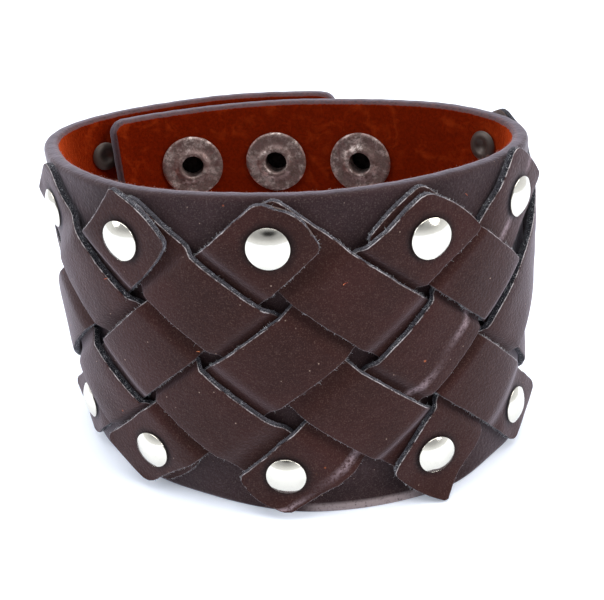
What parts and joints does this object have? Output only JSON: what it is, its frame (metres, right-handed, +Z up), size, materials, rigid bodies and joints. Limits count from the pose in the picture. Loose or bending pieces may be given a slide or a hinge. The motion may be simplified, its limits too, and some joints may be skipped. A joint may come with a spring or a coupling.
{
  "type": "studded leather bracelet",
  "caption": "Wide leather cuff bracelet with woven leather straps held by two rows of domed rivets, closed at the back by press snaps.",
  "frame": {"origin": "middle of the bracelet's box at the height of the lower edge that it rests on", "axes": "+Z up along the wrist's axis, +X to the right seen from the front, -Y to the woven front, +Y to the snaps at the back"},
  "size_m": [0.0822, 0.0584, 0.0515],
  "materials": {
    "band_leather": "smooth dark brown leather, rust red suede inside",
    "strap_leather": "smooth dark brown leather with raw black edges",
    "nickel": "polished nickel plate",
    "aged_nickel": "worn nickel plate"
  },
  "bodies": {
    "root": {"band": "band_leather", "strap_down_1": "strap_leather", "strap_down_2": "strap_leather", "strap_down_3": "strap_leather", "strap_down_4": "strap_leather", "strap_down_5": "strap_leather", "strap_up_1": "strap_leather", "strap_up_2": "strap_leather", "strap_up_3": "strap_leather", "strap_up_4": "strap_leather", "strap_up_5": "strap_leather", "rivet_top_0": "nickel", "rivet_top_1": "nickel", "rivet_top_2": "nickel", "rivet_top_3": "nickel", "rivet_top_4": "nickel", "rivet_top_5": "nickel", "rivet_top_6": "nickel", "rivet_bottom_0": "nickel", "rivet_bottom_1": "nickel", "rivet_bottom_2": "nickel", "rivet_bottom_3": "nickel", "rivet_bottom_4": "nickel", "rivet_bottom_5": "nickel", "rivet_bottom_6": "nickel", "snap_cap_upper_1": "nickel", "snap_cap_upper_2": "nickel", "snap_cap_lower_1": "nickel", "snap_cap_lower_2": "nickel", "snap_socket_upper_1": "aged_nickel", "snap_socket_upper_2": "aged_nickel", "snap_socket_lower_1": "aged_nickel", "snap_socket_lower_2": "aged_nickel", "snap_stud_upper_1": "aged_nickel", "snap_stud_upper_2": "aged_nickel", "snap_stud_upper_3": "aged_nickel", "snap_stud_lower_1": "aged_nickel", "snap_stud_lower_2": "aged_nickel", "snap_stud_lower_3": "aged_nickel", "snap_post_upper_1": "aged_nickel", "snap_post_upper_2": "aged_nickel", "snap_post_upper_3": "aged_nickel", "snap_post_lower_1": "aged_nickel", "snap_post_lower_2": "aged_nickel", "snap_post_lower_3": "aged_nickel"}
  },
  "joints": []
}
